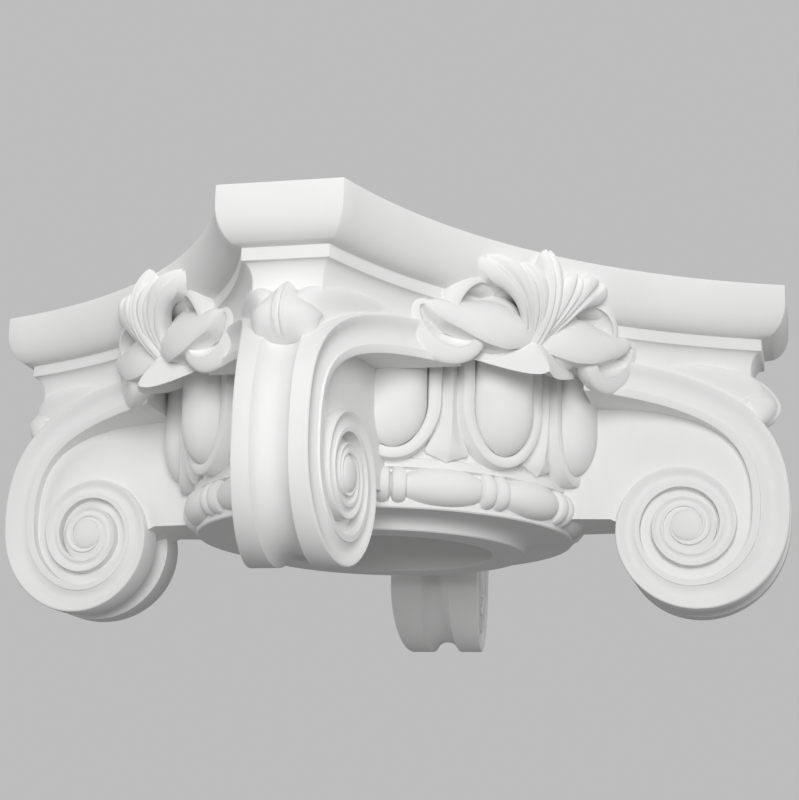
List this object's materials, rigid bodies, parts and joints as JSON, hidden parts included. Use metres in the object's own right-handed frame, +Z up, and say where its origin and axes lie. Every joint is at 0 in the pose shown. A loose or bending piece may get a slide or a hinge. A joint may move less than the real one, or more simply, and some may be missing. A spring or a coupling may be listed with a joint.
{
  "type": "angular ionic column capital",
  "caption": "Cast plaster column capital with diagonal corner volutes, egg-and-dart and bead-and-reel rings, side fleurons, a hollow-sided abacus and a short spigot that enters the shaft.",
  "frame": {"origin": "on the vertical axis, at the level of the volute bottoms that the capital stands on", "axes": "+Z up towards the flat top of the abacus, X and Y square to the hollow sides"},
  "size_m": [0.4186, 0.4186, 0.2],
  "materials": {
    "plaster": "matte white cast plaster, smooth with a fine chalky grain"
  },
  "bodies": {
    "root": {"capital": "plaster"}
  },
  "joints": []
}
